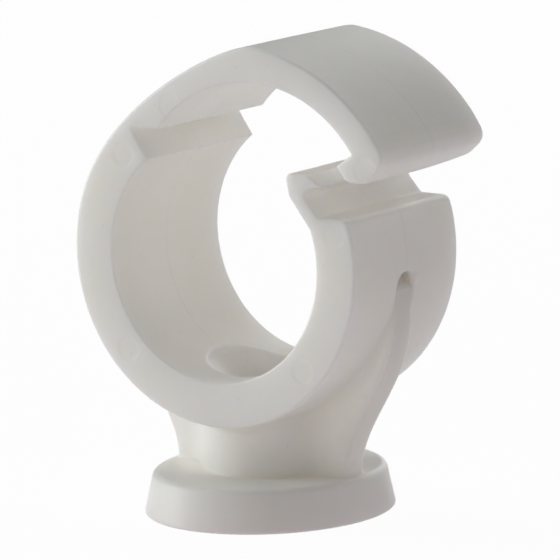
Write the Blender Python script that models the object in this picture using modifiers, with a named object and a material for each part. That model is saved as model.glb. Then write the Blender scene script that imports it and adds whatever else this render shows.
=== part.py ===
"""Moulded pipe clip: a ring that snaps shut round a pipe, on a ribbed neck with a screw hole and a round foot.

Metres, +Z up. The pipe runs along Y, the screw along Z, and the foot stands on Z = 0.
The outlines are drawn in millimetres in the XZ plane, from the pipe's axis.
"""

import math

import bmesh
import bpy
from mathutils import Vector

MM = 0.001

# Ring
PIPE_RADIUS = 11.0
RING_WALL = 4.15
CLIP_WIDTH = 16.6
FACE_EDGE_ROUND = 0.4
ARC_STEP = 4.5

# Hinged arm over the pipe
ARM_INNER_CENTRE = (4.3, 3.35)
ARM_CLEARANCE = 1.8
ARM_OUTER_CENTRE = (2.5, 1.1)
ARM_BULGE = 3.3
ARM_BACK_START = 83.5
ARM_BACK_END = 154.0
ARM_BACK_HANDLE = 2.4
ARM_BACK_REACH = 8.9

# Hinge notch between the arm and the bore
NOTCH_BORE_ANGLE = 128.5
NOTCH_ARM_ANGLE = 141.0
HINGE_WEB = 0.75
HINGE_ANGLE = 127.3
NOTCH_ROUND = 0.3

# Snap tip of the arm, from the end of its inner face
TIP_ANGLE = 34.4
TIP_DROP = 2.55
TIP_HOOK = 1.6
TIP_HOOK_DROP = 1.1
TIP_HEEL = 0.55
TIP_TOE = 1.65
TIP_SHOULDER = 0.35
TIP_TURN = 8.0
TIP_SHOULDER_ROUND = 2.0
TIP_HEEL_ROUND = 1.3
TIP_TOE_ROUND = 1.7

# Jaw that the tip snaps over, from the inside of the ring at the ledge
JAW_START_ANGLE = 19.0
LEDGE_HEIGHT = 4.75
LEDGE_TURN = 5.0
LEDGE_ROUND = 0.9
JAW_LEAN = 2.8
JAW_LEAN_HEIGHT = 1.75
JAW_LIP = 3.15
JAW_HEIGHT = 3.75
JAW_CROWN = 0.7
CATCH_REACH = 1.05
CATCH_HEIGHT = 2.7
RECESS_DEPTH = 1.45
RECESS_HEIGHT = 2.2
RECESS_FOOT = 0.45
JAW_ROUND = 0.55

# Ribs that carry the ring's two sides down to the foot, and the sink at the top of each
RIB_THICKNESS = 2.9
RIB_SET_IN = 0.5
RIB_TOP_HEIGHT = -2.6
RIB_STRAIGHT_END = -5.2
RIB_FOOT_MARGIN = 1.75
RIB_UPPER_HANDLE = 6.4
RIB_LOWER_HANDLE = 4.85
RIB_EDGE_ROUND = 0.35
DIMPLE_WIDTH = 2.6
DIMPLE_TOP = -1.0
DIMPLE_DEPTH = 1.6

# Neck and foot
BOSS_RADIUS = 6.1
NECK_LENGTH = 4.85
FOOT_HALF_LENGTH = 10.95
FOOT_HALF_WIDTH = 12.2
FOOT_HEIGHT = 3.85
FOOT_DRAFT = 0.8
FOOT_TOP_ROUND = 0.6
FOOT_BASE_ROUND = 0.5

# Countersunk screw hole
SHANK_RADIUS = 2.6
COUNTERSINK_RADIUS = 5.4
COUNTERSINK_ANGLE = 45.0

OVERLAP = 0.6
BEYOND = 2.0
ROUND_STEPS = 4
TURN_STEPS = 72
SHADE_ANGLE = 32.0

RING_RADIUS = PIPE_RADIUS + RING_WALL
BORE_HEIGHT = RING_RADIUS + NECK_LENGTH + FOOT_HEIGHT
RIB_TOP_REACH = RING_RADIUS - RIB_SET_IN
RIB_FOOT_REACH = FOOT_HALF_LENGTH - RIB_FOOT_MARGIN
FOOT_TOP = FOOT_HEIGHT - BORE_HEIGHT
BASE = -BORE_HEIGHT


# Outlines
def on_circle(centre, radius, angle):
    turn = math.radians(angle)
    return (centre[0] + radius * math.cos(turn), centre[1] + radius * math.sin(turn))


def arc(centre, radius, start, end):
    """Points along an arc from one angle to another, in degrees."""
    steps = max(2, round(abs(end - start) / ARC_STEP))
    return [on_circle(centre, radius, start + (end - start) * i / steps) for i in range(steps + 1)]


def bezier(start, first, second, end, steps):
    """Points of one cubic curve, without its first."""
    points = []
    for i in range(1, steps + 1):
        t = i / steps
        weights = ((1 - t) ** 3, 3 * t * (1 - t) ** 2, 3 * t * t * (1 - t), t**3)
        corners = (start, first, second, end)
        points.append(tuple(sum(w * c[k] for w, c in zip(weights, corners)) for k in range(2)))
    return points


def rounded(before, corner, after, radius):
    """A corner replaced by an arc of the given radius, limited by the two sides."""
    corner, before, after = Vector(corner), Vector(before), Vector(after)
    inward, outward = before - corner, after - corner
    half = inward.angle(outward) / 2
    setback = min(radius / math.tan(half), 0.49 * inward.length, 0.49 * outward.length)
    radius = setback * math.tan(half)
    inward.normalize()
    outward.normalize()
    centre = corner + (inward + outward).normalized() * math.hypot(radius, setback)
    first, last = corner + inward * setback, corner + outward * setback
    spokes = (first - centre, last - centre)
    return [
        tuple(centre + radius * spokes[0].slerp(spokes[1], i / ROUND_STEPS))
        for i in range(ROUND_STEPS + 1)
    ]


def filleted(corners):
    """A run of (x, z, radius) corners with the rounds worked out; the first and last stay."""
    points = [corners[0][:2]]
    for before, corner, after in zip(corners, corners[1:], corners[2:]):
        if corner[2]:
            points += rounded(before[:2], corner[:2], after[:2], corner[2])
        else:
            points.append(corner[:2])
    return points + [corners[-1][:2]]


def arm_back():
    """The arm's outer side, from the ring's left over the hinge to the top."""
    start = on_circle((0, 0), RING_RADIUS, ARM_BACK_END)
    end = on_circle(ARM_OUTER_CENTRE, RING_RADIUS + ARM_BULGE, ARM_BACK_START)
    leave, arrive = math.radians(ARM_BACK_END), math.radians(ARM_BACK_START)
    first = (start[0] + ARM_BACK_REACH * math.sin(leave), start[1] - ARM_BACK_REACH * math.cos(leave))
    second = (end[0] - ARM_BACK_HANDLE * math.sin(arrive), end[1] + ARM_BACK_HANDLE * math.cos(arrive))
    return bezier(start, first, second, end, 12)


def arm_inner_end():
    return on_circle(ARM_INNER_CENTRE, PIPE_RADIUS + ARM_CLEARANCE, TIP_ANGLE)


def tip_shoulder_angle():
    """Where the arm's outer arc ends, a little below the end of its inner face."""
    rise = arm_inner_end()[1] - TIP_SHOULDER - ARM_OUTER_CENTRE[1]
    return math.degrees(math.asin(rise / (RING_RADIUS + ARM_BULGE)))


def arm_tip():
    """The snap tip, from the arm's outer side round to its inner face."""
    inner = arm_inner_end()
    before = on_circle(ARM_OUTER_CENTRE, RING_RADIUS + ARM_BULGE, tip_shoulder_angle() + TIP_TURN)
    shoulder = on_circle(ARM_OUTER_CENTRE, RING_RADIUS + ARM_BULGE, tip_shoulder_angle())
    return filleted([
        (*before, 0),
        (*shoulder, TIP_SHOULDER_ROUND),
        (inner[0] + TIP_TOE, inner[1] - TIP_DROP, TIP_TOE_ROUND),
        (inner[0] - TIP_HEEL, inner[1] - TIP_DROP, TIP_HEEL_ROUND),
        (inner[0] - TIP_HOOK, inner[1] - TIP_HOOK_DROP, 0),
        (*inner, 0),
    ])


def hinge_notch():
    """The notch that leaves a thin web for the arm to fold on."""
    arm_end = on_circle(ARM_INNER_CENTRE, PIPE_RADIUS + ARM_CLEARANCE, NOTCH_ARM_ANGLE)
    root = on_circle((0, 0), RING_RADIUS - HINGE_WEB, HINGE_ANGLE)
    bore_edge = on_circle((0, 0), PIPE_RADIUS, NOTCH_BORE_ANGLE)
    return filleted([(*arm_end, 0), (*root, NOTCH_ROUND), (*bore_edge, 0)])


def jaw():
    """The catch that the tip snaps over, from the bore round to the ring's outer side."""
    start = on_circle((0, 0), PIPE_RADIUS, JAW_START_ANGLE)
    ledge_end = (math.sqrt(RING_RADIUS**2 - LEDGE_HEIGHT**2), LEDGE_HEIGHT)
    below = on_circle((0, 0), RING_RADIUS, ledge_angle() - LEDGE_TURN)
    return filleted([
        (*start, 0),
        (PIPE_RADIUS - JAW_LEAN, LEDGE_HEIGHT + JAW_LEAN_HEIGHT, 2 * JAW_ROUND),
        (PIPE_RADIUS - JAW_LIP, LEDGE_HEIGHT + JAW_HEIGHT, JAW_ROUND),
        (PIPE_RADIUS - JAW_CROWN, LEDGE_HEIGHT + JAW_HEIGHT, 2 * JAW_ROUND),
        (PIPE_RADIUS + CATCH_REACH, LEDGE_HEIGHT + CATCH_HEIGHT, 0),
        (PIPE_RADIUS - RECESS_DEPTH, LEDGE_HEIGHT + RECESS_HEIGHT, JAW_ROUND),
        (PIPE_RADIUS + RECESS_FOOT, LEDGE_HEIGHT, JAW_ROUND),
        (*ledge_end, LEDGE_ROUND),
        (*below, 0),
    ])


def ledge_angle():
    return math.degrees(math.asin(LEDGE_HEIGHT / RING_RADIUS))


def ring_outline():
    """Ring, arm and jaw as one closed outline."""
    outer_end = tip_shoulder_angle() + TIP_TURN
    outline = arc((0, 0), RING_RADIUS, ledge_angle() - LEDGE_TURN, ARM_BACK_END - 360)
    outline += arm_back()
    outline += arc(ARM_OUTER_CENTRE, RING_RADIUS + ARM_BULGE, ARM_BACK_START, outer_end)[1:]
    outline += arm_tip()[1:]
    outline += arc(ARM_INNER_CENTRE, PIPE_RADIUS + ARM_CLEARANCE, TIP_ANGLE, NOTCH_ARM_ANGLE)[1:]
    outline += hinge_notch()[1:]
    outline += arc((0, 0), PIPE_RADIUS, NOTCH_BORE_ANGLE, JAW_START_ANGLE + 360)[1:]
    outline += jaw()[1:-1]
    return outline


def rib_side():
    """The right rib's outer edge, from the ring's widest point down to the foot."""
    top = (RIB_TOP_REACH, RIB_TOP_HEIGHT)
    straight = (RIB_TOP_REACH, RIB_STRAIGHT_END)
    foot = (RIB_FOOT_REACH, FOOT_TOP)
    curve = bezier(
        straight,
        (straight[0], straight[1] - RIB_UPPER_HANDLE),
        (foot[0], foot[1] + RIB_LOWER_HANDLE),
        foot,
        14,
    )
    return [top, straight] + curve + [(RIB_FOOT_REACH, FOOT_TOP - OVERLAP)]


def rib_outline():
    """Both ribs and the web between them, up to the middle of the ring's wall."""
    right = rib_side()
    left = [(-x, z) for x, z in reversed(right)]
    wall_middle = PIPE_RADIUS + RING_WALL / 2
    side = math.degrees(math.asin(RIB_TOP_HEIGHT / wall_middle))
    return right + left + arc((0, 0), wall_middle, -180 - side, side)


# Scene helpers
def clear_scene():
    for item in list(bpy.data.objects):
        bpy.data.objects.remove(item, do_unlink=True)


def new_collection(name):
    collection = bpy.data.collections.new(name)
    bpy.context.scene.collection.children.link(collection)
    return collection


def add_object(name, mesh, collection):
    item = bpy.data.objects.new(name, mesh)
    collection.objects.link(item)
    return item


def plate(name, outline, thickness, collection):
    """A flat outline in the XZ plane given a thickness along Y, as a closed mesh."""
    curve = bpy.data.curves.new(name, "CURVE")
    curve.dimensions = "2D"
    curve.fill_mode = "BOTH"
    curve.extrude = thickness / 2 * MM
    spline = curve.splines.new("POLY")
    spline.points.add(len(outline) - 1)
    for point, (x, z) in zip(spline.points, outline):
        point.co = (x * MM, z * MM, 0, 1)
    spline.use_cyclic_u = True
    drawn = add_object(name + "_outline", curve, collection)
    drawn.rotation_euler.x = math.pi / 2
    bpy.context.view_layer.update()
    mesh = bpy.data.meshes.new_from_object(drawn.evaluated_get(bpy.context.evaluated_depsgraph_get()))
    mesh.transform(drawn.matrix_world)
    bpy.data.objects.remove(drawn, do_unlink=True)
    bm = bmesh.new()
    bm.from_mesh(mesh)
    bmesh.ops.remove_doubles(bm, verts=bm.verts, dist=0.001 * MM)
    bmesh.ops.dissolve_limit(bm, angle_limit=math.radians(0.2), verts=bm.verts, edges=bm.edges)
    bmesh.ops.recalc_face_normals(bm, faces=bm.faces)
    bm.to_mesh(mesh)
    bm.free()
    mesh.name = name
    return add_object(name, mesh, collection)


def round_rim(item, thickness, width):
    """Rounds the two rims where a plate's flat faces meet its sides."""
    bm = bmesh.new()
    bm.from_mesh(item.data)
    weight = bm.edges.layers.float.new("bevel_weight_edge")
    for edge in bm.edges:
        if all(abs(abs(vert.co.y) - thickness / 2 * MM) < 0.01 * MM for vert in edge.verts):
            edge[weight] = float(edge.verts[0].co.y * edge.verts[1].co.y > 0)
    bm.to_mesh(item.data)
    bm.free()
    bevel = item.modifiers.new("rim", "BEVEL")
    bevel.width = width * MM
    bevel.segments = 2
    bevel.limit_method = "WEIGHT"
    bevel.use_clamp_overlap = False


def turned(name, profile, collection):
    """A profile of (radius, height) points, run from the top down its outer side, turned about Z."""
    mesh = bpy.data.meshes.new(name)
    points = [(r * MM, 0, z * MM) for r, z in profile]
    mesh.from_pydata(points, [(i, i + 1) for i in range(len(points) - 1)], [])
    item = add_object(name, mesh, collection)
    screw = item.modifiers.new("turn", "SCREW")
    screw.steps = TURN_STEPS
    screw.render_steps = TURN_STEPS
    screw.use_merge_vertices = True
    screw.merge_threshold = 0.00001
    return item


def boolean(item, operation, other):
    change = item.modifiers.new(operation.lower() + "_" + other.name, "BOOLEAN")
    change.operation = operation
    change.solver = "EXACT"
    change.object = other


# Pieces of the moulding
def foot(collection):
    top_reach = FOOT_HALF_LENGTH - FOOT_DRAFT
    top_corner = (top_reach, FOOT_TOP)
    base_corner = (FOOT_HALF_LENGTH, BASE)
    profile = [(0, FOOT_TOP)]
    profile += rounded((0, FOOT_TOP), top_corner, base_corner, FOOT_TOP_ROUND)
    profile += rounded(top_corner, base_corner, (0, BASE), FOOT_BASE_ROUND)
    profile += [(0, BASE)]
    item = turned("foot_disc", profile, collection)
    item.scale.y = FOOT_HALF_WIDTH / FOOT_HALF_LENGTH
    return item


def boss(collection):
    top = -(PIPE_RADIUS + RING_WALL / 2)
    bottom = FOOT_TOP - OVERLAP
    return turned("neck_boss", [(0, top), (BOSS_RADIUS, top), (BOSS_RADIUS, bottom), (0, bottom)], collection)


def ribs(collection):
    item = plate("side_ribs", rib_outline(), RIB_THICKNESS, collection)
    round_rim(item, RIB_THICKNESS, RIB_EDGE_ROUND)
    return item


def dimple(side, collection):
    """The round-ended sink at the top of a rib, cut into the ring's widest point."""
    half = DIMPLE_WIDTH / 2
    floor = RING_RADIUS - DIMPLE_DEPTH
    steps = 2 * ROUND_STEPS
    rim = [
        (half * math.cos(math.pi * i / steps), DIMPLE_TOP - half + half * math.sin(math.pi * i / steps))
        for i in range(steps + 1)
    ]
    rim += [(-half, RIB_STRAIGHT_END), (half, RIB_STRAIGHT_END)]
    mesh = bpy.data.meshes.new("dimple")
    bm = bmesh.new()
    face = bm.faces.new([bm.verts.new((side * floor * MM, y * MM, z * MM)) for y, z in rim])
    raised = bmesh.ops.extrude_face_region(bm, geom=[face])
    moved = [vert for vert in raised["geom"] if isinstance(vert, bmesh.types.BMVert)]
    bmesh.ops.translate(bm, verts=moved, vec=(side * (DIMPLE_DEPTH + BEYOND) * MM, 0, 0))
    bmesh.ops.recalc_face_normals(bm, faces=bm.faces)
    bm.to_mesh(mesh)
    bm.free()
    return add_object("dimple_right" if side > 0 else "dimple_left", mesh, collection)


def screw_hole(collection):
    slope = math.tan(math.radians(COUNTERSINK_ANGLE))
    rim = -math.sqrt(PIPE_RADIUS**2 - COUNTERSINK_RADIUS**2 / 2)
    seat = rim - (COUNTERSINK_RADIUS - SHANK_RADIUS) / slope
    top = rim + BEYOND
    bottom = BASE - BEYOND
    profile = [(0, top), (COUNTERSINK_RADIUS, top), (COUNTERSINK_RADIUS, rim)]
    profile += [(SHANK_RADIUS, seat), (SHANK_RADIUS, bottom), (0, bottom)]
    return turned("screw_hole", profile, collection)


def plastic():
    material = bpy.data.materials.new("white_plastic")
    material.use_nodes = True
    shader = material.node_tree.nodes["Principled BSDF"]
    shader.inputs["Base Color"].default_value = (0.78, 0.77, 0.72, 1)
    shader.inputs["Roughness"].default_value = 0.45
    shader.inputs["Metallic"].default_value = 0
    return material


def shade(item):
    item.data.shade_smooth()
    item.data.set_sharp_from_angle(angle=math.radians(SHADE_ANGLE))


def main():
    clear_scene()
    parts = new_collection("pipe_clip_parts")
    tools = new_collection("pipe_clip_cutters")
    outline = ring_outline()
    clip = plate("pipe_clip", outline, CLIP_WIDTH, parts)
    round_rim(clip, CLIP_WIDTH, FACE_EDGE_ROUND)
    cutters = [dimple(1, tools), dimple(-1, tools)]
    additions = [ribs(tools), boss(tools), foot(tools)]
    hole = screw_hole(tools)
    for cutter in cutters:
        boolean(clip, "DIFFERENCE", cutter)
    for addition in additions:
        boolean(clip, "UNION", addition)
    boolean(clip, "DIFFERENCE", hole)
    for item in cutters + additions + [hole]:
        item.hide_render = True
        item.display_type = "WIRE"
    clip.data.materials.append(plastic())
    shade(clip)

    # The frame's origin is under the middle of the clip's length, on the face that it stands on
    frame = bpy.data.objects.new("clip_frame", None)
    parts.objects.link(frame)
    middle = (min(x for x, _ in outline) + max(x for x, _ in outline)) / 2
    frame.location = (-middle * MM, 0, BORE_HEIGHT * MM)
    for item in cutters + additions + [hole, clip]:
        item.parent = frame


main()
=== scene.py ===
"""Off-white moulded pipe clip on a white sweep, seen from the front right and a little above."""

import math

import bpy
import numpy as np
from mathutils import Matrix, Vector


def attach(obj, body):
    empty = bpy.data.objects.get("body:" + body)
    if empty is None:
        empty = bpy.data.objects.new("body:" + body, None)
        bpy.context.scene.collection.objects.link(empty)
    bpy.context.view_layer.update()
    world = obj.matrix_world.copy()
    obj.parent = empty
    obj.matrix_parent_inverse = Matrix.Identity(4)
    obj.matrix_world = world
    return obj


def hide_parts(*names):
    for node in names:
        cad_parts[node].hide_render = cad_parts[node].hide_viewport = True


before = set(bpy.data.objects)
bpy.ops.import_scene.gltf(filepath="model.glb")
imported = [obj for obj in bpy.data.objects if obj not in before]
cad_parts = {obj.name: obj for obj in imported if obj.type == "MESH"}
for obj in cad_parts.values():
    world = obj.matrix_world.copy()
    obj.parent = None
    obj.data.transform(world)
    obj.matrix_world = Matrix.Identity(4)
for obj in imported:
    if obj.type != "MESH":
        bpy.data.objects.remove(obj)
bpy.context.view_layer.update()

MM = 0.001

# Ring, in millimetres from the pipe's axis
PIPE_RADIUS = 11.0
RING_WALL = 4.15
CLIP_WIDTH = 16.6
NECK_LENGTH = 4.85
FOOT_HEIGHT = 3.85
ARC_STEP = 1.5
CURVE_STEPS = 40
ROUND_STEPS = 10

# Arm over the pipe
ARM_INNER_CENTRE = (4.3, 3.35)
ARM_CLEARANCE = 1.8
ARM_OUTER_CENTRE = (2.5, 1.1)
ARM_BULGE = 3.3
ARM_BACK_START = 83.5
ARM_BACK_END = 154.0
ARM_BACK_HANDLE = 2.4
ARM_BACK_REACH = 8.9

# Hinge notch
NOTCH_BORE_ANGLE = 128.5
NOTCH_ARM_ANGLE = 141.0
HINGE_WEB = 0.75
HINGE_ANGLE = 127.3
NOTCH_ROUND = 0.3

# Snap tip
TIP_ANGLE = 34.4
TIP_DROP = 2.55
TIP_HOOK = 1.6
TIP_HOOK_DROP = 1.1
TIP_HEEL = 0.55
TIP_TOE = 1.65
TIP_SHOULDER = 0.35
TIP_TURN = 8.0
TIP_SHOULDER_ROUND = 2.0
TIP_HEEL_ROUND = 1.3
TIP_TOE_ROUND = 1.7

# Jaw
JAW_START_ANGLE = 19.0
LEDGE_HEIGHT = 4.75
LEDGE_TURN = 5.0
LEDGE_ROUND = 0.9
JAW_LEAN = 2.8
JAW_LEAN_HEIGHT = 1.75
JAW_LIP = 3.15
JAW_HEIGHT = 3.75
JAW_CROWN = 0.7
CATCH_REACH = 1.05
CATCH_HEIGHT = 2.7
RECESS_DEPTH = 1.45
RECESS_HEIGHT = 2.2
RECESS_FOOT = 0.45
JAW_ROUND = 0.55
CORNER_ROUND = 0.18

# Ribs and the sink at the top of each
RIB_THICKNESS = 2.9
RIB_SET_IN = 0.5
RIB_TOP_HEIGHT = -2.6
RIB_STRAIGHT_END = -5.2
RIB_FOOT_MARGIN = 1.75
RIB_UPPER_HANDLE = 6.4
RIB_LOWER_HANDLE = 4.85
DIMPLE_WIDTH = 2.6
DIMPLE_TOP = -1.0
DIMPLE_DEPTH = 1.6
DIMPLE_SLOPE = 1.5
DIMPLE_EDGE_ROUND = 0.25

# Neck, foot and screw hole
BOSS_RADIUS = 6.1
FOOT_HALF_LENGTH = 10.95
FOOT_HALF_WIDTH = 12.2
FOOT_DRAFT = 0.8
SHANK_RADIUS = 2.6
COUNTERSINK_RADIUS = 5.4

# Rounds and fillets that the mould leaves
FACE_ROUND = 0.28
BORE_EDGE_ROUND = 0.2
HOLE_EDGE_ROUND = 0.2
TIP_BACK_ROUND = 0.4
TIP_BACK_RISE = 0.4
TIP_RISE_POWER = 4
TIP_FADE = 3.0
RIB_ROUND = 0.35
RIB_FILLET = 2.0
RING_FILLET = 0.9
FOOT_FILLET = 0.3
FOOT_TOP_ROUND = 0.5
FOOT_BASE_ROUND = 0.25
MOULD_DRAFT = 0.003
MARK_RADIUS = 1.25
MARK_EDGE = 0.3
MARK_DEPTH = 0.06
MARKS = ((-9.5, -8.8), (9.4, -9.1), (-9.6, 8.9), (-4.4, 13.65), (13.0, 3.3), (16.3, 9.3))

# Painted shade in the sinks and on the ribs' outer faces, painted light that makes the hole paler, and
# how far it takes to fade
SINK_PAINTED_SHADE = 0.4
RIB_PAINTED_SHADE = 0.11
SHADE_EDGE = 0.4
HOLE_PAINTED_LIGHT = 0.045

# Seam of the mould, and specks; a speck's size is a share of its cell
SEAM_WIDTH = 0.11
SEAM_SHADE = 0.07
SEAM_WEAR_SCALE = 120
SEAM_WEAR = (0.4, 0.65)
SPECK_PITCH = 1.7
SPECK_SIZE = 0.05
SPECK_SHADE = 0.18

# Plastic
PLASTIC_DARK = (0.935, 0.915, 0.87, 1)
PLASTIC_PALE = (0.955, 0.94, 0.9, 1)
PLASTIC_ROUGHNESS = 0.45
PLASTIC_SPECULAR = 0.4
SCATTER_WEIGHT = 0.9
SCATTER_REACH = (1.0, 0.9, 0.8)
SCATTER_SCALE = 0.003
CLOUD_SCALE = 160
CLOUD_RANGE = (0.35, 0.65)
GRAIN_SCALE = 2600
GRAIN_STRENGTH = 0.3
GRAIN_DEPTH = 0.00004

# Studio, in metres; a lamp is its name, place, width, power and colour
WHITE = (1, 1, 1, 1)
FLOOR_SIZE = 3
FLOOR_GREY = (0.9, 0.9, 0.9, 1)
FLOOR_BOUNCE = (1.0, 0.86, 0.93, 1)
FLOOR_BOUNCE_SHARE = 0.245
FLOOR_SEEN_SHARE = 0.97
AMBIENT_COLOUR = (1.0, 0.96, 0.92, 1)
AMBIENT_STRENGTH = 0.02
AIM_HEIGHT = 0.022
LAMPS = (
    ("key", (-0.54, -0.22, 0.16), 0.35, 1.7, (0.97, 1.0, 0.99)),
    ("top", (-0.25, 0.05, 0.55), 0.4, 0.87, (0.96, 1.0, 1.0)),
    ("front", (0.15, -0.55, 0.12), 0.4, 0.55, (1.0, 0.98, 0.92)),
    ("back", (-0.1, 0.55, 0.2), 0.4, 0.93, (1.0, 1.0, 1.0)),
    ("back_right", (0.42, 0.42, 0.2), 0.4, 0.61, (1.0, 1.0, 1.0)),
)

# Camera, solved from the photograph
CAMERA_AZIMUTH = 34.79
CAMERA_ELEVATION = 9.986
CAMERA_ROLL = -1.105
CAMERA_DISTANCE = 0.52434
CAMERA_FOCAL = 5836.0
CAMERA_AXIS = (266.239, 267.203)
CAMERA_SENSOR = 36
CAMERA_CLIP = 0.01
PICTURE = 560

# Mesh
VOXEL = 0.16
OUTLINE_PITCH = 0.05
OUTLINE_MARGIN = 2.0
NET_MARGIN = 0.5
SLOPE_STEP = 0.03
LEAST_SLOPE = 0.2
MOST_TRIANGLES = 190000

RING_RADIUS = PIPE_RADIUS + RING_WALL
BORE_HEIGHT = RING_RADIUS + NECK_LENGTH + FOOT_HEIGHT
FOOT_TOP = FOOT_HEIGHT - BORE_HEIGHT
BASE = -BORE_HEIGHT
WALL_MIDDLE = PIPE_RADIUS + RING_WALL / 2


# Outlines
def on_circle(centre, radius, angle):
    turn = math.radians(angle)
    return (centre[0] + radius * math.cos(turn), centre[1] + radius * math.sin(turn))


def arc(centre, radius, start, end):
    steps = max(2, round(abs(end - start) / ARC_STEP))
    return [on_circle(centre, radius, start + (end - start) * i / steps) for i in range(steps + 1)]


def bezier(start, first, second, end):
    points = []
    for i in range(1, CURVE_STEPS + 1):
        t = i / CURVE_STEPS
        weights = ((1 - t) ** 3, 3 * t * (1 - t) ** 2, 3 * t * t * (1 - t), t**3)
        corners = (start, first, second, end)
        points.append(tuple(sum(w * c[k] for w, c in zip(weights, corners)) for k in range(2)))
    return points


def rounded(before, corner, after, radius):
    """A corner replaced by an arc of the given radius, limited by the two sides."""
    corner, before, after = Vector(corner), Vector(before), Vector(after)
    inward, outward = before - corner, after - corner
    half = inward.angle(outward) / 2
    setback = min(radius / math.tan(half), 0.49 * inward.length, 0.49 * outward.length)
    radius = setback * math.tan(half)
    inward.normalize()
    outward.normalize()
    centre = corner + (inward + outward).normalized() * math.hypot(radius, setback)
    first, last = corner + inward * setback, corner + outward * setback
    spokes = (first - centre, last - centre)
    shares = [i / ROUND_STEPS for i in range(ROUND_STEPS + 1)]
    return [tuple(centre + radius * spokes[0].slerp(spokes[1], share)) for share in shares]


def filleted(corners):
    points = [corners[0][:2]]
    for before, corner, after in zip(corners, corners[1:], corners[2:]):
        if corner[2]:
            points += rounded(before[:2], corner[:2], after[:2], corner[2])
        else:
            points.append(corner[:2])
    return points + [corners[-1][:2]]


def arm_inner_end():
    return on_circle(ARM_INNER_CENTRE, PIPE_RADIUS + ARM_CLEARANCE, TIP_ANGLE)


def tip_shoulder_angle():
    rise = arm_inner_end()[1] - TIP_SHOULDER - ARM_OUTER_CENTRE[1]
    return math.degrees(math.asin(rise / (RING_RADIUS + ARM_BULGE)))


def arm_back():
    start = on_circle((0, 0), RING_RADIUS, ARM_BACK_END)
    end = on_circle(ARM_OUTER_CENTRE, RING_RADIUS + ARM_BULGE, ARM_BACK_START)
    leave, arrive = math.radians(ARM_BACK_END), math.radians(ARM_BACK_START)
    first = (start[0] + ARM_BACK_REACH * math.sin(leave), start[1] - ARM_BACK_REACH * math.cos(leave))
    second = (end[0] - ARM_BACK_HANDLE * math.sin(arrive), end[1] + ARM_BACK_HANDLE * math.cos(arrive))
    return bezier(start, first, second, end)


def arm_tip():
    inner = arm_inner_end()
    before = on_circle(ARM_OUTER_CENTRE, RING_RADIUS + ARM_BULGE, tip_shoulder_angle() + TIP_TURN)
    shoulder = on_circle(ARM_OUTER_CENTRE, RING_RADIUS + ARM_BULGE, tip_shoulder_angle())
    return filleted([
        (*before, 0),
        (*shoulder, TIP_SHOULDER_ROUND),
        (inner[0] + TIP_TOE, inner[1] - TIP_DROP, TIP_TOE_ROUND),
        (inner[0] - TIP_HEEL, inner[1] - TIP_DROP, TIP_HEEL_ROUND),
        (inner[0] - TIP_HOOK, inner[1] - TIP_HOOK_DROP, CORNER_ROUND),
        (*inner, 0),
    ])


def hinge_notch():
    arm_end = on_circle(ARM_INNER_CENTRE, PIPE_RADIUS + ARM_CLEARANCE, NOTCH_ARM_ANGLE)
    root = on_circle((0, 0), RING_RADIUS - HINGE_WEB, HINGE_ANGLE)
    bore_edge = on_circle((0, 0), PIPE_RADIUS, NOTCH_BORE_ANGLE)
    return filleted([(*arm_end, 0), (*root, NOTCH_ROUND), (*bore_edge, 0)])


def jaw():
    start = on_circle((0, 0), PIPE_RADIUS, JAW_START_ANGLE)
    ledge_end = (math.sqrt(RING_RADIUS**2 - LEDGE_HEIGHT**2), LEDGE_HEIGHT)
    below = on_circle((0, 0), RING_RADIUS, ledge_angle() - LEDGE_TURN)
    return filleted([
        (*start, 0),
        (PIPE_RADIUS - JAW_LEAN, LEDGE_HEIGHT + JAW_LEAN_HEIGHT, 2 * JAW_ROUND),
        (PIPE_RADIUS - JAW_LIP, LEDGE_HEIGHT + JAW_HEIGHT, JAW_ROUND),
        (PIPE_RADIUS - JAW_CROWN, LEDGE_HEIGHT + JAW_HEIGHT, 2 * JAW_ROUND),
        (PIPE_RADIUS + CATCH_REACH, LEDGE_HEIGHT + CATCH_HEIGHT, CORNER_ROUND),
        (PIPE_RADIUS - RECESS_DEPTH, LEDGE_HEIGHT + RECESS_HEIGHT, JAW_ROUND),
        (PIPE_RADIUS + RECESS_FOOT, LEDGE_HEIGHT, JAW_ROUND),
        (*ledge_end, LEDGE_ROUND),
        (*below, 0),
    ])


def ledge_angle():
    return math.degrees(math.asin(LEDGE_HEIGHT / RING_RADIUS))


def ring_outline():
    """Ring, arm and jaw as one closed outline."""
    outline = arc((0, 0), RING_RADIUS, ledge_angle() - LEDGE_TURN, ARM_BACK_END - 360)
    outline += arm_back()
    outer_end = tip_shoulder_angle() + TIP_TURN
    outline += arc(ARM_OUTER_CENTRE, RING_RADIUS + ARM_BULGE, ARM_BACK_START, outer_end)[1:]
    outline += arm_tip()[1:]
    outline += arc(ARM_INNER_CENTRE, PIPE_RADIUS + ARM_CLEARANCE, TIP_ANGLE, NOTCH_ARM_ANGLE)[1:]
    outline += hinge_notch()[1:]
    outline += arc((0, 0), PIPE_RADIUS, NOTCH_BORE_ANGLE, JAW_START_ANGLE + 360)[1:]
    outline += jaw()[1:-1]
    return outline


def rib_outline():
    """Both ribs and the web between them, up to the middle of the ring's wall."""
    reach = RING_RADIUS - RIB_SET_IN
    foot = FOOT_HALF_LENGTH - RIB_FOOT_MARGIN
    curve = bezier(
        (reach, RIB_STRAIGHT_END),
        (reach, RIB_STRAIGHT_END - RIB_UPPER_HANDLE),
        (foot, FOOT_TOP + RIB_LOWER_HANDLE),
        (foot, FOOT_TOP),
    )
    right = [(reach, RIB_TOP_HEIGHT), (reach, RIB_STRAIGHT_END)]
    right += curve + [(foot, FOOT_TOP - FOOT_HEIGHT / 2)]
    left = [(-x, z) for x, z in reversed(right)]
    side = math.degrees(math.asin(RIB_TOP_HEIGHT / WALL_MIDDLE))
    return right + left + arc((0, 0), WALL_MIDDLE, -180 - side, side)


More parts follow.
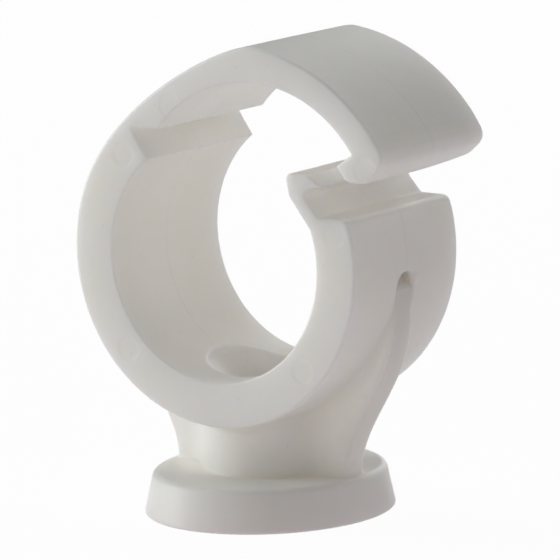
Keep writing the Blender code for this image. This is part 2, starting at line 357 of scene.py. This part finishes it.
# Distances
def outline_distance(x, z, outline):
    """Signed distance from each point to a closed outline, negative inside."""
    corners = np.array(outline, np.float32)
    nearest = np.full(x.shape, np.float32(1e9))
    inside = np.zeros(x.shape, bool)
    for (ax, az), (bx, bz) in zip(corners, np.roll(corners, -1, axis=0)):
        ex, ez = bx - ax, bz - az
        length = ex * ex + ez * ez
        if length < 1e-9:
            continue
        px, pz = x - ax, z - az
        along = np.clip((px * ex + pz * ez) / length, 0, 1)
        nearest = np.minimum(nearest, (px - along * ex) ** 2 + (pz - along * ez) ** 2)
        if az != bz:
            crosses = (az > z) != (bz > z)
            inside ^= crosses & (px < pz * ex / ez)
    return np.where(inside, -1, 1) * np.sqrt(nearest)


class OutlineGrid:
    """The distance to an outline, kept on a fine grid and read between its points."""

    def __init__(self, outline):
        corners = np.array(outline)
        self.low = corners.min(axis=0) - OUTLINE_MARGIN
        size = corners.max(axis=0) + OUTLINE_MARGIN - self.low
        steps = np.ceil(size / OUTLINE_PITCH).astype(int) + 1
        xs = self.low[0] + OUTLINE_PITCH * np.arange(steps[0])
        zs = self.low[1] + OUTLINE_PITCH * np.arange(steps[1])
        x, z = np.meshgrid(xs.astype(np.float32), zs.astype(np.float32), indexing="ij")
        self.values = outline_distance(x, z, outline)

    def at(self, x, z):
        u = (x - self.low[0]) / OUTLINE_PITCH
        v = (z - self.low[1]) / OUTLINE_PITCH
        u = np.clip(u, 0, self.values.shape[0] - 1.001)
        v = np.clip(v, 0, self.values.shape[1] - 1.001)
        i, j = u.astype(int), v.astype(int)
        s, t = u - i, v - j
        grid = self.values
        low = grid[i, j] * (1 - s) + grid[i + 1, j] * s
        high = grid[i, j + 1] * (1 - s) + grid[i + 1, j + 1] * s
        return low * (1 - t) + high * t


def meet(a, b, radius):
    """Where two solids overlap, with the edge between them rounded."""
    u, v = np.maximum(a + radius, 0), np.maximum(b + radius, 0)
    return np.minimum(np.maximum(a + radius, b + radius), 0) - radius + np.hypot(u, v)


def join(a, b, radius):
    """Two solids as one, with a fillet between them."""
    return -meet(-a, -b, radius)


def smooth(value):
    value = np.clip(value, 0, 1)
    return value * value * (3 - 2 * value)


def tip_share(x, z):
    """One at the bottom of the arm's tip, fading out up the arm and down to the ledge."""
    bottom = arm_inner_end()[1] - TIP_DROP
    above = smooth((bottom + TIP_FADE - z) / TIP_FADE)
    below = smooth((z - LEDGE_HEIGHT) / (bottom - LEDGE_HEIGHT))
    return above * below * smooth((x - PIPE_RADIUS - CATCH_REACH) / TIP_HOOK)


def ring_distance(x, y, z):
    reach = np.hypot(x, z)
    near_bore = smooth((WALL_MIDDLE - reach) / RING_WALL * 2)
    tip = tip_share(x, z)
    rise = TIP_BACK_RISE * np.clip(y / CLIP_WIDTH + 0.5, 0, 1) ** TIP_RISE_POWER
    side = ring_grid.at(x, z - rise * tip) + MOULD_DRAFT * np.abs(y)
    mark = np.minimum.reduce([np.hypot(x - mx, z - mz) for mx, mz in MARKS])
    sunk = MARK_DEPTH * smooth((MARK_RADIUS - mark) / MARK_EDGE) * (y < 0)
    radius = FACE_ROUND + (BORE_EDGE_ROUND - FACE_ROUND) * near_bore
    radius = radius + (TIP_BACK_ROUND - FACE_ROUND) * tip * (y > 0)
    return meet(side, np.abs(y) - CLIP_WIDTH / 2 + sunk, radius)


def neck_distance(x, y, z):
    rib = meet(rib_grid.at(x, z), np.abs(y) - RIB_THICKNESS / 2, RIB_ROUND)
    boss = np.maximum(np.hypot(x, y) - BOSS_RADIUS, np.maximum(FOOT_TOP - 1 - z, z + PIPE_RADIUS / 2))
    neck = join(rib, boss, RIB_FILLET)
    return np.maximum(neck, WALL_MIDDLE - np.hypot(x, z))


def foot_distance(x, y, z):
    stretch = FOOT_HALF_WIDTH / FOOT_HALF_LENGTH
    reach = np.hypot(x, y / stretch)
    slope = FOOT_DRAFT / FOOT_HEIGHT
    side = reach - FOOT_HALF_LENGTH + slope * (z - BASE)
    top = meet(side, z - FOOT_TOP, FOOT_TOP_ROUND)
    return meet(top, BASE - z, FOOT_BASE_ROUND)


def hole_distance(x, y, z):
    reach = np.hypot(x, y)
    rim = -math.sqrt(PIPE_RADIUS**2 - COUNTERSINK_RADIUS**2 / 2)
    cone = (reach - COUNTERSINK_RADIUS - (z - rim)) / math.sqrt(2)
    sink = np.maximum(cone, reach - COUNTERSINK_RADIUS)
    return np.maximum(np.minimum(sink, reach - SHANK_RADIUS), z + PIPE_RADIUS / 2)


def sink_share(z):
    """How much of its full depth the sink has at a height."""
    return smooth((z - RIB_TOP_HEIGHT) / DIMPLE_SLOPE)


def dimple_distance(x, y, z):
    """The round-ended sink at the top of each rib, which grows shallow down to the rib's face."""
    half = DIMPLE_WIDTH / 2
    centre = DIMPLE_TOP - half
    across = np.hypot(y, np.maximum(z - centre, 0)) - half
    floor = RING_RADIUS - RIB_SET_IN - (DIMPLE_DEPTH - RIB_SET_IN) * sink_share(z)
    return np.maximum(np.maximum(across, floor - np.abs(x)), RIB_STRAIGHT_END - z)


def clip_distance(x, y, z):
    ring = ring_distance(x, y, z)
    ring = meet(ring, -dimple_distance(x, y, z), DIMPLE_EDGE_ROUND)
    fillet = CORNER_ROUND + RING_FILLET * smooth((RIB_STRAIGHT_END - z) / PIPE_RADIUS * 2)
    solid = join(ring, neck_distance(x, y, z), fillet)
    solid = join(solid, foot_distance(x, y, z), FOOT_FILLET)
    return meet(solid, -hole_distance(x, y, z), HOLE_EDGE_ROUND)


ring_grid = OutlineGrid(ring_outline())
rib_grid = OutlineGrid(rib_outline())


# Mesh
def surface_net(low, high, pitch):
    """Vertices and quads of the zero surface, one vertex in each cell that it crosses."""
    axes = [np.arange(a, b + pitch, pitch) for a, b in zip(low, high)]
    field = np.empty([len(axis) for axis in axes], np.float32)
    x, z = np.meshgrid(axes[0], axes[2], indexing="ij")
    for j, y in enumerate(axes[1]):
        field[:, j, :] = clip_distance(x, y + 0 * x, z)
    inside = field < 0
    corners = [(i, j, k) for i in (0, 1) for j in (0, 1) for k in (0, 1)]
    cells = tuple(n - 1 for n in field.shape)
    count = np.zeros(cells, np.int8)
    for i, j, k in corners:
        count += inside[i : i + cells[0], j : j + cells[1], k : k + cells[2]]
    active = np.argwhere((count > 0) & (count < 8))
    number = np.full(cells, -1, np.int64)
    number[tuple(active.T)] = np.arange(len(active))
    total = np.zeros((len(active), 3))
    hits = np.zeros(len(active))
    for a in corners:
        for axis in range(3):
            if a[axis]:
                continue
            b = tuple(a[n] + (n == axis) for n in range(3))
            fa = field[tuple((active + a).T)]
            fb = field[tuple((active + b).T)]
            crossed = (fa < 0) != (fb < 0)
            share = np.where(crossed, fa / np.where(crossed, fa - fb, 1), 0)
            point = np.array(a, float)[None, :].repeat(len(active), axis=0)
            point[:, axis] = share
            total += np.where(crossed[:, None], point, 0)
            hits += crossed
    vertices = np.array(low) + pitch * (active + total / hits[:, None])
    quads = []
    for axis in range(3):
        u, v = [n for n in range(3) if n != axis]
        ahead = [slice(None)] * 3
        ahead[axis] = slice(1, None)
        behind = [slice(None)] * 3
        behind[axis] = slice(None, -1)
        here, there = inside[tuple(behind)], inside[tuple(ahead)]
        edges = np.argwhere(here != there)
        edges = edges[(edges[:, u] > 0) & (edges[:, v] > 0)]
        step_u, step_v = np.eye(3, dtype=int)[u], np.eye(3, dtype=int)[v]
        ring = [number[tuple((edges - s).T)] for s in (0 * step_u, step_u, step_u + step_v, step_v)]
        quad = np.stack(ring, axis=1)
        flip = here[tuple(edges.T)] == (axis == 1)
        quad[flip] = quad[flip][:, ::-1]
        quads.append(quad)
    return vertices, np.concatenate(quads)


def slopes(points):
    """The direction in which the distance grows, at each point."""
    found = []
    for axis in range(3):
        shift = np.zeros(3)
        shift[axis] = SLOPE_STEP
        ahead = clip_distance(*(points + shift).T)
        behind = clip_distance(*(points - shift).T)
        found.append((ahead - behind) / (2 * SLOPE_STEP))
    return np.stack(found, axis=1)


def settle(points, rounds=3):
    """Moves points along the slope onto the surface."""
    for _ in range(rounds):
        slope = slopes(points)
        size = np.maximum((slope**2).sum(axis=1), LEAST_SLOPE)
        move = (clip_distance(*points.T) / size)[:, None] * slope
        length = np.linalg.norm(move, axis=1, keepdims=True)
        points = points - move * np.minimum(1, VOXEL / np.maximum(length, 1e-9))
    return points


def new_mesh(name, points, faces):
    mesh = bpy.data.meshes.new(name)
    size = faces.shape[1]
    mesh.vertices.add(len(points))
    mesh.vertices.foreach_set("co", points.astype(np.float32).ravel())
    mesh.loops.add(faces.size)
    mesh.loops.foreach_set("vertex_index", faces.astype(np.int32).ravel())
    mesh.polygons.add(len(faces))
    mesh.polygons.foreach_set("loop_start", np.arange(0, faces.size, size, dtype=np.int32))
    mesh.update(calc_edges=True)
    mesh.validate()
    return mesh


def thinned(mesh, triangles):
    """The mesh with its flat stretches made of fewer, larger triangles."""
    holder = bpy.data.objects.new("thinning", mesh)
    bpy.context.scene.collection.objects.link(holder)
    decimate = holder.modifiers.new("thin", "DECIMATE")
    decimate.ratio = triangles / (2 * len(mesh.polygons))
    decimate.use_collapse_triangulate = True
    bpy.context.view_layer.update()
    done = bpy.data.meshes.new_from_object(holder.evaluated_get(bpy.context.evaluated_depsgraph_get()))
    bpy.data.objects.remove(holder, do_unlink=True)
    return done


def read_points(mesh):
    points = np.empty(3 * len(mesh.vertices), np.float32)
    mesh.vertices.foreach_get("co", points)
    return points.reshape(-1, 3).astype(float)


def make_clip():
    arm_reach = RING_RADIUS + ARM_BULGE
    low = np.array((-RING_RADIUS, -FOOT_HALF_WIDTH, BASE)) - NET_MARGIN
    far_corner = (ARM_OUTER_CENTRE[0] + arm_reach, FOOT_HALF_WIDTH, ARM_OUTER_CENTRE[1] + arm_reach)
    high = np.array(far_corner) + NET_MARGIN
    pitch = VOXEL
    points, quads = surface_net(low, high, pitch)
    points = settle(points)
    mesh = new_mesh("clip_body", points, quads)
    if 2 * len(quads) > MOST_TRIANGLES:
        mesh = thinned(mesh, MOST_TRIANGLES)
        points = settle(read_points(mesh), 2)
    normals = slopes(points)
    normals /= np.maximum(np.linalg.norm(normals, axis=1, keepdims=True), 1e-9)
    shift = np.array([middle_shift(), 0, BORE_HEIGHT])
    mesh.vertices.foreach_set("co", ((points + shift) * MM).astype(np.float32).ravel())
    mesh.shade_smooth()
    mesh.normals_split_custom_set_from_vertices(normals.tolist())
    # the 'shade' attribute holds the painted shade and painted light; 'seam' places the mould's seam
    for name, values in (("shade", painted_shade_and_light(points)), ("seam", seam_share(points))):
        mesh.attributes.new(name, "FLOAT", "POINT").data.foreach_set("value", values.astype(np.float32))
    mesh.update()
    clip = bpy.data.objects.new("clip_body", mesh)
    bpy.context.scene.collection.objects.link(clip)
    return clip


def painted_shade_and_light(points):
    """A point's share of its colour, with shade and light painted in: painted shade in the sinks and on
    the ribs' outer faces, painted light in the hole.
    """
    x, y, z = points.T
    outside = smooth((np.hypot(x, z) - WALL_MIDDLE) / SHADE_EDGE)
    # painted shade: the sinks are darkened where shade falls in them
    sink = outside * smooth(0.5 - dimple_distance(x, y, z) / SHADE_EDGE) * sink_share(z)
    # painted shade: the ribs' outer faces are darkened as if in the shade of the ring
    face = outside * smooth(rib_grid.at(x, z) / SHADE_EDGE + 2) * smooth((DIMPLE_TOP - z) / SHADE_EDGE)
    face = face * smooth((RIB_THICKNESS / 2 - np.abs(y)) / SHADE_EDGE + 0.5)
    face = face * smooth((z - FOOT_TOP) / NECK_LENGTH)
    # painted light: the hole is made paler, as if lit inside
    hole = smooth(1 - hole_distance(x, y, z) / SHADE_EDGE)
    return 1 + HOLE_PAINTED_LIGHT * hole - np.maximum(SINK_PAINTED_SHADE * sink, RIB_PAINTED_SHADE * face)


def seam_share(points):
    """Where the seam shows: on the ring, and neither on the neck nor on the foot."""
    x, y, z = points.T
    return smooth(neck_distance(x, y, z) / SHADE_EDGE) * smooth((z - FOOT_TOP) / SHADE_EDGE)


def middle_shift():
    """How far the screw's axis lies from the middle of the clip's length."""
    reaches = [x for x, _ in ring_outline()]
    return -(min(reaches) + max(reaches)) / 2


# Materials
def scaled(tree, colour, factor):
    """A colour times a number."""
    scale = tree.nodes.new("ShaderNodeVectorMath")
    scale.operation = "SCALE"
    tree.links.new(colour, scale.inputs["Vector"])
    tree.links.new(factor, scale.inputs["Scale"])
    return scale.outputs["Vector"]


def ramp(tree, value, start, end, first, last):
    """A number that goes from first to last as the value goes from start to end."""
    span = tree.nodes.new("ShaderNodeMapRange")
    for name, number in (("From Min", start), ("From Max", end), ("To Min", first), ("To Max", last)):
        span.inputs[name].default_value = number
    tree.links.new(value, span.inputs["Value"])
    return span.outputs["Result"]


def product(tree, first, second):
    times = tree.nodes.new("ShaderNodeMath")
    times.operation = "MULTIPLY"
    tree.links.new(first, times.inputs[0])
    tree.links.new(second, times.inputs[1])
    return times.outputs[0]


def attribute(tree, name):
    stored = tree.nodes.new("ShaderNodeAttribute")
    stored.attribute_name = name
    return stored.outputs["Fac"]


def seam(tree, coords):
    """The faint line where the two halves of the mould met, darker in some places than in others."""
    axes = tree.nodes.new("ShaderNodeSeparateXYZ")
    tree.links.new(coords.outputs["Object"], axes.inputs[0])
    off = tree.nodes.new("ShaderNodeMath")
    off.operation = "ABSOLUTE"
    tree.links.new(axes.outputs["Y"], off.inputs[0])
    wear = tree.nodes.new("ShaderNodeTexNoise")
    wear.inputs["Scale"].default_value = SEAM_WEAR_SCALE
    tree.links.new(coords.outputs["Object"], wear.inputs["Vector"])
    worn = ramp(tree, wear.outputs["Fac"], *SEAM_WEAR, SEAM_SHADE, 0)
    line = ramp(tree, off.outputs[0], SEAM_WIDTH / 3 * MM, SEAM_WIDTH * MM, 1, 0)
    place = attribute(tree, "seam")
    depth = product(tree, product(tree, worn, line), place)
    return ramp(tree, depth, 0, 1, 1, 0)


def specks(tree, coords):
    """A few small dark specks in the plastic."""
    cells = tree.nodes.new("ShaderNodeTexVoronoi")
    cells.inputs["Scale"].default_value = 1 / (SPECK_PITCH * MM)
    tree.links.new(coords.outputs["Object"], cells.inputs["Vector"])
    return ramp(tree, cells.outputs["Distance"], SPECK_SIZE / 2, SPECK_SIZE, 1 - SPECK_SHADE, 1)


def plastic():
    material = bpy.data.materials.new("white_plastic")
    material.use_nodes = True
    tree = material.node_tree
    nodes, links = tree.nodes, tree.links
    shader = nodes["Principled BSDF"]
    shader.inputs["Roughness"].default_value = PLASTIC_ROUGHNESS
    shader.inputs["Specular IOR Level"].default_value = PLASTIC_SPECULAR
    shader.inputs["Subsurface Weight"].default_value = SCATTER_WEIGHT
    shader.inputs["Subsurface Radius"].default_value = SCATTER_REACH
    shader.inputs["Subsurface Scale"].default_value = SCATTER_SCALE
    coords = nodes.new("ShaderNodeTexCoord")
    cloud = nodes.new("ShaderNodeTexNoise")
    cloud.inputs["Scale"].default_value = CLOUD_SCALE
    cloud.inputs["Detail"].default_value = 3
    links.new(coords.outputs["Object"], cloud.inputs["Vector"])
    tint = nodes.new("ShaderNodeValToRGB")
    for stop, place, colour in zip(tint.color_ramp.elements, CLOUD_RANGE, (PLASTIC_DARK, PLASTIC_PALE)):
        stop.position = place
        stop.color = colour
    links.new(cloud.outputs["Fac"], tint.inputs["Fac"])
    # the 'shade' attribute paints shade into the sinks and onto the ribs' outer faces, and paints light
    # into the hole
    shaded = scaled(tree, tint.outputs["Color"], attribute(tree, "shade"))
    shaded = scaled(tree, shaded, seam(tree, coords))
    shaded = scaled(tree, shaded, specks(tree, coords))
    links.new(shaded, shader.inputs["Base Color"])
    grain = nodes.new("ShaderNodeTexNoise")
    grain.inputs["Scale"].default_value = GRAIN_SCALE
    grain.inputs["Detail"].default_value = 2
    links.new(coords.outputs["Object"], grain.inputs["Vector"])
    bump = nodes.new("ShaderNodeBump")
    bump.inputs["Strength"].default_value = GRAIN_STRENGTH
    bump.inputs["Distance"].default_value = GRAIN_DEPTH
    links.new(grain.outputs["Fac"], bump.inputs["Height"])
    links.new(bump.outputs["Normal"], shader.inputs["Normal"])
    return material


def backdrop_material():
    """White to the camera and to mirror rays, with the shadow that the clip casts kept."""
    material = bpy.data.materials.new("white_sweep")
    material.use_nodes = True
    tree = material.node_tree
    nodes, links = tree.nodes, tree.links
    nodes.clear()
    output = nodes.new("ShaderNodeOutputMaterial")
    diffuse = nodes.new("ShaderNodeBsdfDiffuse")
    diffuse.inputs["Color"].default_value = FLOOR_GREY
    path = nodes.new("ShaderNodeLightPath")
    seen = nodes.new("ShaderNodeMath")
    seen.operation = "MAXIMUM"
    links.new(path.outputs["Is Camera Ray"], seen.inputs[0])
    links.new(path.outputs["Is Glossy Ray"], seen.inputs[1])
    warmth = nodes.new("ShaderNodeMix")
    warmth.data_type = "RGBA"
    links.new(seen.outputs[0], warmth.inputs["Factor"])
    warmth.inputs["A"].default_value = FLOOR_BOUNCE
    warmth.inputs["B"].default_value = WHITE
    glow = nodes.new("ShaderNodeEmission")
    links.new(warmth.outputs["Result"], glow.inputs["Color"])
    share = nodes.new("ShaderNodeMapRange")
    share.inputs["To Min"].default_value = FLOOR_BOUNCE_SHARE
    share.inputs["To Max"].default_value = FLOOR_SEEN_SHARE
    links.new(seen.outputs[0], share.inputs["Value"])
    mix = nodes.new("ShaderNodeMixShader")
    links.new(share.outputs[0], mix.inputs[0])
    links.new(diffuse.outputs[0], mix.inputs[1])
    links.new(glow.outputs[0], mix.inputs[2])
    links.new(mix.outputs[0], output.inputs["Surface"])
    return material


def make_floor():
    bpy.ops.mesh.primitive_plane_add(size=FLOOR_SIZE)
    floor = bpy.context.object
    floor.name = "floor"
    floor.data.materials.append(backdrop_material())


def make_world():
    world = bpy.data.worlds.new("studio")
    bpy.context.scene.world = world
    world.use_nodes = True
    nodes, links = world.node_tree.nodes, world.node_tree.links
    nodes.clear()
    output = nodes.new("ShaderNodeOutputWorld")
    ambient = nodes.new("ShaderNodeBackground")
    ambient.inputs["Color"].default_value = AMBIENT_COLOUR
    ambient.inputs["Strength"].default_value = AMBIENT_STRENGTH
    white = nodes.new("ShaderNodeBackground")
    white.inputs["Color"].default_value = WHITE
    path = nodes.new("ShaderNodeLightPath")
    mix = nodes.new("ShaderNodeMixShader")
    links.new(path.outputs["Is Camera Ray"], mix.inputs[0])
    links.new(ambient.outputs[0], mix.inputs[1])
    links.new(white.outputs[0], mix.inputs[2])
    links.new(mix.outputs[0], output.inputs["Surface"])


def make_lights():
    for name, place, size, power, colour in LAMPS:
        data = bpy.data.lights.new(name, "AREA")
        data.shape = "DISK"
        data.size = size
        data.energy = power
        data.color = colour
        light = bpy.data.objects.new(name, data)
        bpy.context.scene.collection.objects.link(light)
        light.location = place
        aim = Vector((0, 0, AIM_HEIGHT)) - Vector(place)
        light.rotation_euler = aim.to_track_quat("-Z", "Y").to_euler()


def make_camera():
    data = bpy.data.cameras.new("camera")
    data.sensor_width = CAMERA_SENSOR
    data.lens = CAMERA_FOCAL * data.sensor_width / PICTURE
    data.shift_x = (PICTURE / 2 - CAMERA_AXIS[0]) / PICTURE
    data.shift_y = (CAMERA_AXIS[1] - PICTURE / 2) / PICTURE
    data.clip_start = CAMERA_CLIP
    camera = bpy.data.objects.new("camera", data)
    bpy.context.scene.collection.objects.link(camera)
    a, e, r = (math.radians(v) for v in (CAMERA_AZIMUTH, CAMERA_ELEVATION, CAMERA_ROLL))
    back = Vector((math.sin(a) * math.cos(e), -math.cos(a) * math.cos(e), math.sin(e)))
    right = Vector((math.cos(a), math.sin(a), 0))
    up = back.cross(right)
    level = math.cos(r) * right + math.sin(r) * up
    upright = math.cos(r) * up - math.sin(r) * right
    aim = Vector((middle_shift() * MM, 0, AIM_HEIGHT))
    turn = Matrix((level, upright, back)).transposed().to_4x4()
    camera.matrix_world = Matrix.Translation(aim + CAMERA_DISTANCE * back) @ turn
    bpy.context.scene.camera = camera


clip = make_clip()
clip.data.materials.append(plastic())
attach(clip, "root")
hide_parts("pipe_clip")
make_floor()
make_world()
make_lights()
make_camera()
bpy.context.scene.view_settings.view_transform = "Standard"
